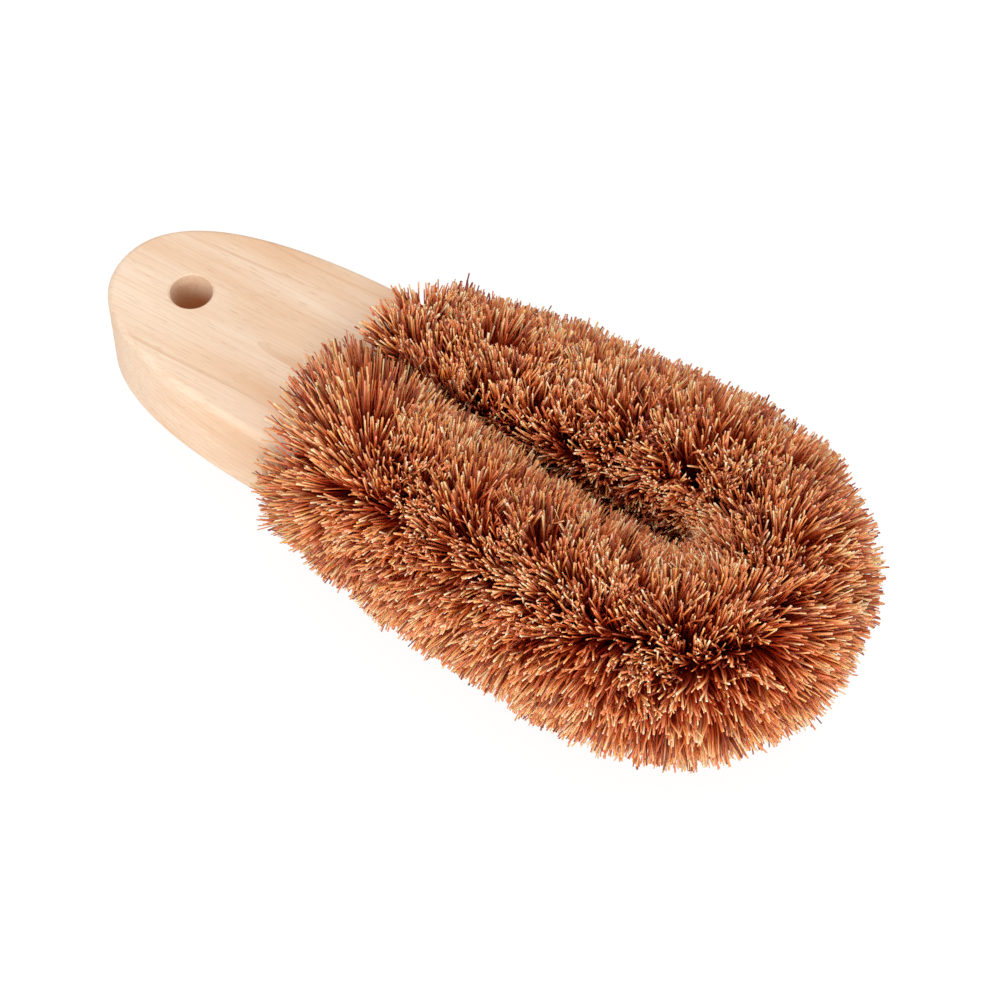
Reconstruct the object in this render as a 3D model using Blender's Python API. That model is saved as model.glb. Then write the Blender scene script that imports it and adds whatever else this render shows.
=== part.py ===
# Foot brush: a paddle-shaped wooden handle and a coir brush, made as one stem of two twisted wires
# that clamp the coir between them, bent into a U and set with both ends in bores in the handle.
#
# Metres. +X runs from the handle to the bend, +Z is up, and the origin is on the ground under the
# middle of the brush. While it is modelled, everything is measured from the brush_frame empty,
# which is where the handle's front face meets the stem's middle plane.

import math

import bmesh
import bpy
import numpy as np
from mathutils import Matrix, Vector

MM = 0.001

# Handle: a planed board with a rounded tail
HANDLE_LENGTH = 60.0 * MM
HANDLE_THICKNESS = 21.0 * MM
HANDLE_WIDTH = 46.8 * MM
TAIL_FULLNESS = 25.8 * MM
SIDE_FULLNESS = 5.2 * MM
EDGE_RADIUS = 1.5 * MM
HANG_HOLE_DIAMETER = 9.0 * MM
HANG_HOLE_INSET = 17.7 * MM

# Stem: two wires twisted together round the coir, then bent into a U
WIRE_DIAMETER = 1.6 * MM
COIR_LAYER = 2.6 * MM
LOBE_RADIUS = 3.0 * MM
TWIST_PITCH = 24.0 * MM
LEG_LENGTH = 74.0 * MM
BEND_RADIUS = 19.7 * MM
LEG_OFFSET_AT_HANDLE = 15.0 * MM
STEM_GRIP = 25.0 * MM
BORE_END_CLEARANCE = 1.0 * MM

# Coir: strands that stand square to the stem and fan out to a round brush
FIBRE_REACH = 22.5 * MM
FIBRE_REACH_AT_HANDLE = 20.8 * MM
REACH_RAMP = 35.0 * MM
CUT_UNEVENNESS = 0.9 * MM
LEAST_STRAND = 3.0 * MM
BEND_EYE = 3.5 * MM
STRAND_ROOT_INSET = 0.36 * MM
STRAND_TIP_RADIUS = 1.25 * MM
FAN_OUT = 1.5
STRAND_SPACING = 2.6 * MM
STRAND_WANDER = math.radians(4.0)
GROUND_CUT = 0.5 * MM
SPLAY_LENGTH = 9.0 * MM
SPLAY_ANGLE = math.radians(46.0)
SPLAY_EDGE_GAP = 1.4 * MM

# Clearances
CLEARANCE = 0.3 * MM
STRAND_GAP = 0.25 * MM
ROOT_ZONE = 2.5 * MM
SAMPLE_SPACING = 1.2 * MM
TRIM_STEP = 0.5 * MM
SLOPE_STEP = 0.5 * MM
DRILL_OVERRUN = 2.0 * MM
WELD_DISTANCE = 0.001 * MM

LEG_SLICES = 3
BEND_SLICES = 6
LOBE_FACES = 3
SCALLOP_FACES = 4
SCALLOP_STEP = math.radians(54.0)
ROUND_SEGMENTS = 24
SIDE_RESOLUTION = 16
EASE_RESOLUTION = 2
CIRCLE_HANDLE = 4.0 / 3.0 * (math.sqrt(2.0) - 1.0)
STRAND_SEED = 7

BEND_LENGTH = math.pi * BEND_RADIUS
STEM_LENGTH = 2.0 * LEG_LENGTH + BEND_LENGTH
WIRE_ORBIT = (WIRE_DIAMETER + COIR_LAYER) / 2.0
HELIX_ANGLE = math.atan(2.0 * math.pi * WIRE_ORBIT / TWIST_PITCH)
AXIS_HEIGHT = FIBRE_REACH - GROUND_CUT


def clear_scene():
    for obj in list(bpy.data.objects):
        bpy.data.objects.remove(obj)


def new_collection(name):
    collection = bpy.data.collections.new(name)
    bpy.context.scene.collection.children.link(collection)
    return collection


def make_material(name, colour, roughness, metallic=0.0):
    material = bpy.data.materials.new(name)
    material.use_nodes = True
    shader = material.node_tree.nodes["Principled BSDF"]
    shader.inputs["Base Color"].default_value = (*colour, 1.0)
    shader.inputs["Roughness"].default_value = roughness
    shader.inputs["Metallic"].default_value = metallic
    material.diffuse_color = (*colour, 1.0)
    return material


def add_object(name, data, collection, parent, material=None):
    obj = bpy.data.objects.new(name, data)
    collection.objects.link(obj)
    obj.parent = parent
    if material is not None:
        obj.data.materials.append(material)
    return obj


def mesh_from_curve(obj):
    """Replaces a curve object by its mesh, with the caps welded to the sides."""
    bpy.context.view_layer.update()
    graph = bpy.context.evaluated_depsgraph_get()
    mesh = bpy.data.meshes.new_from_object(obj.evaluated_get(graph))
    bm = bmesh.new()
    bm.from_mesh(mesh)
    bmesh.ops.remove_doubles(bm, verts=bm.verts, dist=WELD_DISTANCE)
    bmesh.ops.recalc_face_normals(bm, faces=bm.faces)
    bm.to_mesh(mesh)
    bm.free()
    name, parent, collection = obj.name, obj.parent, obj.users_collection[0]
    matrix = obj.matrix_world.copy()
    bpy.data.objects.remove(obj)
    solid = bpy.data.objects.new(name, mesh)
    collection.objects.link(solid)
    solid.parent = parent
    solid.matrix_world = matrix
    return solid


def smooth_step(share):
    share = min(max(share, 0.0), 1.0)
    return share * share * (3.0 - 2.0 * share)


# Handle

def add_bezier_ring(curve, points, resolution):
    """A closed Bezier outline from (point, handle before, handle after) in the plane."""
    spline = curve.splines.new("BEZIER")
    spline.bezier_points.add(len(points) - 1)
    spline.use_cyclic_u = True
    spline.resolution_u = resolution
    for knot, (point, before, after) in zip(spline.bezier_points, points):
        knot.co = (*point, 0.0)
        knot.handle_left = (point[0] + before[0], point[1] + before[1], 0.0)
        knot.handle_right = (point[0] + after[0], point[1] + after[1], 0.0)


def handle_outline():
    """A round tail that grows in one curve on each side into the square front."""
    half = HANDLE_WIDTH / 2.0
    across = half / 3.0
    return [
        ((-HANDLE_LENGTH, 0.0), (0.0, TAIL_FULLNESS), (0.0, -TAIL_FULLNESS)),
        ((0.0, -half), (-SIDE_FULLNESS, 0.0), (0.0, across)),
        ((0.0, half), (0.0, -across), (-SIDE_FULLNESS, 0.0)),
    ]


def hang_hole_outline():
    centre = HANG_HOLE_INSET - HANDLE_LENGTH
    radius = HANG_HOLE_DIAMETER / 2.0
    pull = CIRCLE_HANDLE * radius
    quarter_turns = [(1, 0), (0, 1), (-1, 0), (0, -1)]
    return [
        ((centre + radius * x, radius * y), (pull * y, -pull * x), (-pull * y, pull * x))
        for x, y in quarter_turns
    ]


def bore_cutter(name, side, cutters, frame):
    """A drill for one of the two bores that hold the stem's ends."""
    radius = WIRE_ORBIT + WIRE_DIAMETER / 2.0 + CLEARANCE
    depth = STEM_GRIP + BORE_END_CLEARANCE
    mesh = bpy.data.meshes.new(name)
    bm = bmesh.new()
    bmesh.ops.create_cone(
        bm,
        cap_ends=True,
        segments=ROUND_SEGMENTS,
        radius1=radius,
        radius2=radius,
        depth=depth + DRILL_OVERRUN,
        matrix=Matrix.Rotation(math.pi / 2.0, 4, "Y"),
    )
    bm.to_mesh(mesh)
    bm.free()
    cutter = add_object(name, mesh, cutters, frame)
    cutter.location = ((DRILL_OVERRUN - depth) / 2.0, side * LEG_OFFSET_AT_HANDLE, 0.0)
    cutter.hide_render = True
    cutter.display_type = "WIRE"
    return cutter


def build_handle(parts, cutters, frame, wood):
    curve = bpy.data.curves.new("handle", "CURVE")
    curve.dimensions = "2D"
    curve.fill_mode = "BOTH"
    curve.extrude = HANDLE_THICKNESS / 2.0 - EDGE_RADIUS
    curve.bevel_depth = EDGE_RADIUS
    curve.bevel_resolution = EASE_RESOLUTION
    curve.offset = -EDGE_RADIUS
    add_bezier_ring(curve, handle_outline(), SIDE_RESOLUTION)
    add_bezier_ring(curve, hang_hole_outline(), ROUND_SEGMENTS // 4)
    handle = mesh_from_curve(add_object("handle", curve, parts, frame))
    handle.data.materials.append(wood)
    for name, side in (("right_bore_cutter", -1.0), ("left_bore_cutter", 1.0)):
        cut = handle.modifiers.new(name, "BOOLEAN")
        cut.operation = "DIFFERENCE"
        cut.object = bore_cutter(name, side, cutters, frame)
    handle.data.shade_smooth()
    handle.data.set_sharp_from_angle(angle=math.radians(40.0))
    return handle


# Stem: every place along it is one distance from the right leg's end at the handle

def leg_offset(distance):
    """How far the leg runs from the middle plane, this far out from the handle."""
    growth = BEND_RADIUS - LEG_OFFSET_AT_HANDLE
    return LEG_OFFSET_AT_HANDLE + growth * smooth_step(distance / LEG_LENGTH)


def stem_frame(along):
    """The stem's place there: its X points out of the U, its Y up and its Z back along the stem."""
    if along < LEG_LENGTH or along > STEM_LENGTH - LEG_LENGTH:
        side = -1.0 if along < LEG_LENGTH else 1.0
        out = along if side < 0.0 else STEM_LENGTH - along
        rise = leg_offset(out + SLOPE_STEP) - leg_offset(out - SLOPE_STEP)
        slope = rise / (2.0 * SLOPE_STEP)
        point = Vector((out, side * leg_offset(out), 0.0))
        outward = Vector((-slope, side, 0.0)).normalized()
    else:
        turn = (along - LEG_LENGTH) / BEND_RADIUS - math.pi / 2.0
        outward = Vector((math.cos(turn), math.sin(turn), 0.0))
        point = Vector((LEG_LENGTH, 0.0, 0.0)) + BEND_RADIUS * outward
    up = Vector((0.0, 0.0, 1.0))
    frame = Matrix((outward, up, outward.cross(up))).transposed().to_4x4()
    frame.translation = point
    return frame


def twist_at(along):
    return 2.0 * math.pi * along / TWIST_PITCH


def distance_along(point):
    if point.x < LEG_LENGTH:
        return point.x if point.y < 0.0 else STEM_LENGTH - point.x
    turn = math.atan2(point.y, point.x - LEG_LENGTH)
    return LEG_LENGTH + (turn + math.pi / 2.0) * BEND_RADIUS


def slice_stations():
    """For each slice of coir its name, and where the rings of its backing lie along the stem."""
    leg, bend = LEG_LENGTH / LEG_SLICES, BEND_LENGTH / BEND_SLICES
    spans = [("coir_right_%d" % (i + 1), i * leg, leg) for i in range(LEG_SLICES)]
    spans += [("coir_bend_%d" % (i + 1), LEG_LENGTH + i * bend, bend) for i in range(BEND_SLICES)]
    spans += [
        ("coir_left_%d" % (i + 1), STEM_LENGTH - (i + 1) * leg, leg) for i in range(LEG_SLICES)
    ]
    slices = []
    for name, start, length in spans:
        steps = max(2, round(length / STRAND_SPACING))
        slices.append((name, [start + length * i / steps for i in range(steps + 1)]))
    return slices


def largest_twist_step(slices):
    gaps = [b - a for _, stations in slices for a, b in zip(stations, stations[1:])]
    return twist_at(max(gaps))


def build_wires(slices, parts, frame, steel):
    """Two wires, half a turn apart, from the bottom of one bore to the bottom of the other."""
    grip_steps = max(2, round(STEM_GRIP / STRAND_SPACING))
    places = [STEM_GRIP * (i / grip_steps - 1.0) for i in range(grip_steps)]
    for _, stations in sorted(slices, key=lambda named: named[1][0]):
        places += stations[:-1]
    places += [STEM_LENGTH + STEM_GRIP * i / grip_steps for i in range(grip_steps + 1)]
    for name, phase in (("wire_strand_a", 0.0), ("wire_strand_b", math.pi)):
        curve = bpy.data.curves.new(name, "CURVE")
        curve.dimensions = "3D"
        curve.bevel_depth = WIRE_DIAMETER / 2.0
        curve.bevel_resolution = 1
        curve.use_fill_caps = True
        spline = curve.splines.new("POLY")
        spline.points.add(len(places) - 1)
        for knot, along in zip(spline.points, places):
            angle = twist_at(along) + phase
            offset = Vector((WIRE_ORBIT * math.cos(angle), WIRE_ORBIT * math.sin(angle), 0.0))
            knot.co = (*(stem_frame(along) @ offset), 1.0)
        add_object(name, curve, parts, frame, steel)


# Coir: a backing that fills the space between the wires, and strands that grow out of its lobes

def backing_section(twist_step):
    """A disc with two scallops that the wires run in, half a turn apart, as (x, y) points."""
    wire_half = WIRE_DIAMETER / 2.0 / math.cos(HELIX_ANGLE)
    room = (wire_half + CLEARANCE) / (math.cos(SCALLOP_STEP / 2.0) * math.cos(twist_step / 2.0))
    cosine = (LOBE_RADIUS**2 + WIRE_ORBIT**2 - room**2) / (2.0 * LOBE_RADIUS * WIRE_ORBIT)
    mouth = math.acos(cosine)
    lip = math.atan2(LOBE_RADIUS * math.sin(mouth), LOBE_RADIUS * cosine - WIRE_ORBIT)
    points = []
    for turn in (0.0, math.pi):
        half = []
        for i in range(LOBE_FACES + 1):
            angle = mouth + (math.pi - 2.0 * mouth) * i / LOBE_FACES
            half.append((LOBE_RADIUS * math.cos(angle), LOBE_RADIUS * math.sin(angle)))
        for i in range(1, SCALLOP_FACES):
            angle = lip + (2.0 * math.pi - 2.0 * lip) * i / SCALLOP_FACES
            half.append((-WIRE_ORBIT - room * math.cos(angle), room * math.sin(angle)))
        c, s = math.cos(turn), math.sin(turn)
        points += [(c * x - s * y, s * x + c * y) for x, y in half]
    return points


def turned_frame(along):
    return stem_frame(along) @ Matrix.Rotation(twist_at(along), 4, "Z")


def sweep_backing(stations, section):
    """The section extruded from ring to ring along the stem, turning with the wires."""
    places = list(stations)
    places[0] += CLEARANCE / 2.0
    places[-1] -= CLEARANCE / 2.0
    bm = bmesh.new()
    start = turned_frame(places[0])
    end_face = bm.faces.new([bm.verts.new(start @ Vector((x, y, 0.0))) for x, y in section])
    sides = []
    for here, there in zip(places, places[1:]):
        made = bmesh.ops.extrude_face_region(bm, geom=[end_face])["geom"]
        moved = [item for item in made if isinstance(item, bmesh.types.BMVert)]
        step = turned_frame(there) @ turned_frame(here).inverted()
        bmesh.ops.transform(bm, matrix=step, verts=moved)
        if sides:
            bm.faces.remove(end_face)
        end_face = next(item for item in made if isinstance(item, bmesh.types.BMFace))
        for edge in end_face.edges:
            sides += [face for face in edge.link_faces if face != end_face]
    bmesh.ops.recalc_face_normals(bm, faces=bm.faces)
    return bm, sides


def polar(point):
    """The point's distance along the stem, its angle round it from straight out, and its radius."""
    along = distance_along(point)
    local = stem_frame(along).inverted() @ point
    return along, math.atan2(local.y, local.x), math.hypot(local.x, local.y)


def lobe_of(along, angle):
    """The middle of the nearer lobe, and how far round from it the angle is."""
    middle = twist_at(along) + math.pi / 2.0
    apart = (angle - middle + math.pi / 2.0) % math.pi - math.pi / 2.0
    return angle - apart, apart


def strand_roots(bm, sides):
    """One triangle of each face on the lobes, inset for its strand, in order along the stem."""
    on_lobe = LOBE_RADIUS - WELD_DISTANCE
    lobes = []
    for face in sides:
        if all(polar(vert.co)[2] > on_lobe for vert in face.verts):
            along, angle, _ = polar(face.calc_center_median())
            lobes.append((round(along, 5), round(angle, 3), face))
    lobes.sort(key=lambda item: item[:2])
    roots = []
    for _, _, face in lobes:
        halves = bmesh.ops.triangulate(bm, faces=[face])["faces"]
        roots.append(min(halves, key=lambda half: polar(half.calc_center_median())[0]))
    bmesh.ops.inset_individual(bm, faces=roots, thickness=STRAND_ROOT_INSET)
    return roots


def fibre_reach(along):
    from_handle = min(along, STEM_LENGTH - along)
    growth = FIBRE_REACH - FIBRE_REACH_AT_HANDLE
    return FIBRE_REACH_AT_HANDLE + growth * smooth_step(from_handle / REACH_RAMP)


def room_inside(along, direction):
    """How far a strand can go before the middle plane, or before the eye of the bend."""
    frame = stem_frame(along)
    inward = -direction.dot(frame.to_3x3().col[0])
    if inward <= 0.0:
        return FIBRE_REACH
    if LEG_LENGTH < along < STEM_LENGTH - LEG_LENGTH:
        return (BEND_RADIUS - BEND_EYE) / inward
    return (abs(frame.translation.y) - STRAND_TIP_RADIUS - STRAND_GAP / 2.0) / inward


def edge_distance(along, direction):
    """How far from the stem a strand clears the edge of the handle's front, seen from the bend."""
    from_middle = stem_frame(along).translation.y
    sideways = direction.y * math.copysign(1.0, from_middle)
    room = HANDLE_WIDTH / 2.0 - math.copysign(abs(from_middle), sideways)
    share = max(abs(sideways) / room, abs(direction.z) / (HANDLE_THICKNESS / 2.0))
    return 1.0 / share + SPLAY_EDGE_GAP


def strand_path(root, along, direction, reach):
    """The strand's middle line. One beside the handle bends back over the handle's edge."""
    middle = stem_frame(along).translation
    from_handle = min(along, STEM_LENGTH - along)
    edge = edge_distance(along, direction)
    clear_of_front = Vector((max(0.0, STRAND_TIP_RADIUS + CLEARANCE - middle.x), 0.0, 0.0))
    if from_handle > SPLAY_LENGTH or edge + LEAST_STRAND > reach:
        return [root, middle + reach * direction + clear_of_front]
    lean = SPLAY_ANGLE * (1.0 - from_handle / SPLAY_LENGTH)
    knee = middle + edge * direction + clear_of_front
    back = Vector((-1.0, 0.0, 0.0))
    beyond = (reach - edge) * (math.cos(lean) * direction + math.sin(lean) * back)
    return [root, knee, knee + beyond]


def strand_samples(path, root_radius):
    """Points along the strand past its root, as x, y, z and the strand's radius there."""
    total = sum((b - a).length for a, b in zip(path, path[1:]))
    samples = []
    gone = 0.0
    for a, b in zip(path, path[1:]):
        length = (b - a).length
        steps = max(2, math.ceil(length / SAMPLE_SPACING))
        for i in range(steps + 1):
            here = gone + length * i / steps
            if here > ROOT_ZONE:
                radius = root_radius + (STRAND_TIP_RADIUS - root_radius) * here / total
                samples.append((*a.lerp(b, i / steps), radius))
        gone += length
    return np.array(samples)


def gap_to(samples, others):
    """The least distance from one strand's surface to the others'."""
    apart = np.linalg.norm(samples[:, None, :3] - others[None, :, :3], axis=2)
    return float((apart - samples[:, None, 3] - others[None, :, 3]).min())


def trim_to_room(root, along, direction, reach, root_radius, placed):
    """The longest strand, up to reach, that stays clear of the strands already placed."""
    near = [samples for start, samples in placed if (start - root).length < 2.0 * FIBRE_REACH]
    while True:
        path = strand_path(root, along, direction, reach)
        samples = strand_samples(path, root_radius)
        clear = not near or gap_to(samples, np.concatenate(near)) > STRAND_GAP
        if clear or reach - TRIM_STEP < LOBE_RADIUS + LEAST_STRAND:
            return path, samples
        reach -= TRIM_STEP


def grow_strand(bm, face, path, root_radius):
    """Extrudes the root along the path, ending in an even triangle."""
    total = sum((b - a).length for a, b in zip(path, path[1:]))
    gone = 0.0
    for a, b in zip(path, path[1:]):
        gone += (b - a).length
        heading = (b - a).normalized()
        first = face.verts[0].co - a
        first = (first - first.dot(heading) * heading).normalized()
        radius = root_radius + (STRAND_TIP_RADIUS - root_radius) * gone / total
        face = bmesh.ops.extrude_discrete_faces(bm, faces=[face])["faces"][0]
        for i, vert in enumerate(face.verts):
            turn = Matrix.Rotation(2.0 * math.pi * i / len(face.verts), 3, heading)
            vert.co = b + radius * (turn @ first)


def cut_at_ground(bm):
    """Cuts the strands that point down flat, where the brush stands on them."""
    everything = list(bm.verts) + list(bm.edges) + list(bm.faces)
    cut = bmesh.ops.bisect_plane(
        bm,
        geom=everything,
        dist=WELD_DISTANCE,
        plane_co=(0.0, 0.0, -AXIS_HEIGHT),
        plane_no=(0.0, 0.0, -1.0),
        clear_outer=True,
    )["geom_cut"]
    edges = [item for item in cut if isinstance(item, bmesh.types.BMEdge)]
    bmesh.ops.holes_fill(bm, edges=edges, sides=0)


def build_coir(slices, parts, frame, coir):
    rng = np.random.default_rng(STRAND_SEED)
    section = backing_section(largest_twist_step(slices))
    placed = []
    for name, stations in slices:
        bm, sides = sweep_backing(stations, section)
        for face in strand_roots(bm, sides):
            root = face.calc_center_median()
            root_radius = max((vert.co - root).length for vert in face.verts)
            along, angle, _ = polar(root)
            middle, apart = lobe_of(along, angle)
            angle = middle + FAN_OUT * apart + rng.uniform(-STRAND_WANDER, STRAND_WANDER)
            local = Vector((math.cos(angle), math.sin(angle), 0.0))
            direction = stem_frame(along).to_3x3() @ local
            reach = fibre_reach(along) - rng.uniform(0.0, CUT_UNEVENNESS)
            reach = min(reach, room_inside(along, direction))
            path, samples = trim_to_room(root, along, direction, reach, root_radius, placed)
            placed.append((root, samples))
            grow_strand(bm, face, path, root_radius)
        cut_at_ground(bm)
        bmesh.ops.recalc_face_normals(bm, faces=bm.faces)
        mesh = bpy.data.meshes.new(name)
        bm.to_mesh(mesh)
        bm.free()
        add_object(name, mesh, parts, frame, coir)
    print("strands:", len(placed))


def main():
    clear_scene()
    parts = new_collection("foot_brush")
    cutters = new_collection("cutters")
    frame = bpy.data.objects.new("brush_frame", None)
    parts.objects.link(frame)
    reach_forward = LEG_LENGTH + BEND_RADIUS + FIBRE_REACH
    frame.location = ((HANDLE_LENGTH - reach_forward) / 2.0, 0.0, AXIS_HEIGHT)

    wood = make_material("rubberwood", (0.79, 0.56, 0.38), 0.62)
    steel = make_material("galvanised_wire", (0.55, 0.56, 0.57), 0.38, 1.0)
    coir = make_material("coir_fibre", (0.45, 0.17, 0.06), 0.75)

    slices = slice_stations()
    build_handle(parts, cutters, frame, wood)
    build_wires(slices, parts, frame, steel)
    build_coir(slices, parts, frame, coir)


main()
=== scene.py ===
import math

import bmesh
import bpy
import numpy as np
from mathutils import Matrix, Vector


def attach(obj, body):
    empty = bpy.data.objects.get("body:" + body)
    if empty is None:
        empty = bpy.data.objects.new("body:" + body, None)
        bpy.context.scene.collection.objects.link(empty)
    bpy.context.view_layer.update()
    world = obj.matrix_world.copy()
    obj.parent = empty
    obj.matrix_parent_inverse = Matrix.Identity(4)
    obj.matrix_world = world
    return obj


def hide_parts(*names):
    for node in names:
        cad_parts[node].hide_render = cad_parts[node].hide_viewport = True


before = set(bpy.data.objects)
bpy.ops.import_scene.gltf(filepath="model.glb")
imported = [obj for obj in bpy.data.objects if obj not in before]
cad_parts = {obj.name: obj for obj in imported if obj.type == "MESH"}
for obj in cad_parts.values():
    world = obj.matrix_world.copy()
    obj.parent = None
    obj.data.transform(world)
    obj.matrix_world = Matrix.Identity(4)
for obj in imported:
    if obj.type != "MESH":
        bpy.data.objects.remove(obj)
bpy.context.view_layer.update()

print("frame loaded:", len(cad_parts), "nodes")

mm = 0.001
fullTurn = 2 * math.pi
quarterTurn = math.pi / 2
frontOfHandle = (-28.1, 0.0, 22.0)  # mm, where the handle's front meets the stem's level in the room


# shared helpers

def linearColour(hexText):
    channels = [int(hexText[i:i + 2], 16) / 255.0 for i in (1, 3, 5)]
    return [c / 12.92 if c <= 0.04045 else ((c + 0.055) / 1.055) ** 2.4 for c in channels] + [1.0]


def newMaterial(name):
    material = bpy.data.materials.new(name)
    material.use_nodes = True
    tree = material.node_tree
    tree.nodes.clear()
    return material, tree


def addNode(tree, kind, settings=None, inputs=None):
    # settings are the node's own fields, inputs are socket values or links from other sockets
    node = tree.nodes.new(kind)
    for field, value in (settings or {}).items():
        setattr(node, field, value)
    for socket, value in (inputs or {}).items():
        if isinstance(value, bpy.types.NodeSocket):
            tree.links.new(value, node.inputs[socket])
        else:
            node.inputs[socket].default_value = value
    return node


def setRamp(node, stops):
    # stops are pairs of place and colour, from 0 to 1
    marks = node.color_ramp.elements
    while len(marks) > 1:
        marks.remove(marks[-1])
    marks[0].position = stops[0][0]
    marks[0].color = linearColour(stops[0][1])
    for place, colour in stops[1:]:
        marks.new(place).color = linearColour(colour)
    return node


def addObject(name, data, material=None):
    obj = bpy.data.objects.new(name, data)
    bpy.context.scene.collection.objects.link(obj)
    if material is not None:
        data.materials.append(material)
    return obj


# handle sizes, in mm

handle = {
    "length": 60.0,
    "width": 46.8,
    "thickness": 21.0,
    "tailFullness": 25.8,   # pull of the round tail's curve
    "sideFullness": 5.2,    # pull of the side where it meets the front
    "edgeRadius": 1.5,
    "holeDiameter": 9.0,
    "holeInset": 17.7,      # from the tail's tip to the middle of the hole
    "holeChamfer": 0.4,
    "boreDiameter": 6.4,    # the two blind holes that take the wire stem's ends
    "boreDepth": 26.0,
    "boreOffset": 15.0,     # from the middle plane to each leg of the stem
    "boreStart": 1.0,       # how far in front of the wood the drill starts
    "sideSteps": 40,        # edges along each curve of the outline
    "edgeSteps": 5,         # edges round the rounded edge
    "drillSides": 64,
    "sharpAngle": 32.0,     # degrees, sharper edges than this stay crisp
}
holeMiddle = (frontOfHandle[0] + handle["holeInset"] - handle["length"], 0.0, frontOfHandle[2])


# materials

woodFinish = {
    "ground": "#e9caad",
    "pale": "#f0d8c0",
    "warm": "#e0b692",
    "ring": "#cf9f78",
    "pore": "#b48660",
    "holeShadeAndGrain": "#dc8436",     # painted shade deep in the hanging hole, with the end grain's own warmer tone in it
    "pithBelow": 25.0,      # mm, how deep under the board the middle of the tree was
    "pithAside": 3.0,
    "pithTilt": 0.02,       # the rings run out of the face in long points
    "ringWidth": 1.7,       # mm of a year's growth
    "ringWander": 3.0,      # mm
    "roughness": (0.76, 0.62),
    "lineRelief": 0.4,      # of the fine lines, against 1 for the pores
    "bumpStrength": 0.3,
    "bumpDepth": 0.12,      # mm
    "ior": 1.5,
    "specular": 0.3,
}

# noises in the wood: mm across the grain, mm along it, detail, roughness
woodGrain = {
    "bands": (9.0, 54.0, 3.0, 0.5),      # soft bands
    "lines": (0.55, 24.75, 2.0, 0.6),    # fine lines
    "pores": (0.22, 3.6, 1.0, 0.4),      # open vessels of rubberwood, as they show on the face
    "faint": (12.0, 36.0, 1.0, 0.5),     # where the year rings show
    "wander": (16.0, 64.0, 0.5, 0.5),    # how the year rings wander
}

# each mask's strength runs smoothly from the third number, where its value is the first, to the fourth,
# where it is the second
woodMasks = {
    "lines": (0.36, 0.56, 0.42, 0.0),
    "late": (0.86, 0.97, 0.0, 0.45),     # the dark end of a year's growth
    "faint": (0.40, 0.62, 0.1, 1.0),
    "pores": (0.27, 0.36, 0.34, 0.0),
    "holeWall": ((handle["holeDiameter"] / 2 + 0.02) * mm,       # only the skin of the wall
                 (handle["holeDiameter"] / 2 + 0.12) * mm, 1.0, 0.0),
    "holeShadeDepth": (0.0, 0.275 * handle["thickness"] * mm, 0.6, 0.0),      # painted shade, deepest at the middle of the board and fading towards the faces
}


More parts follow.
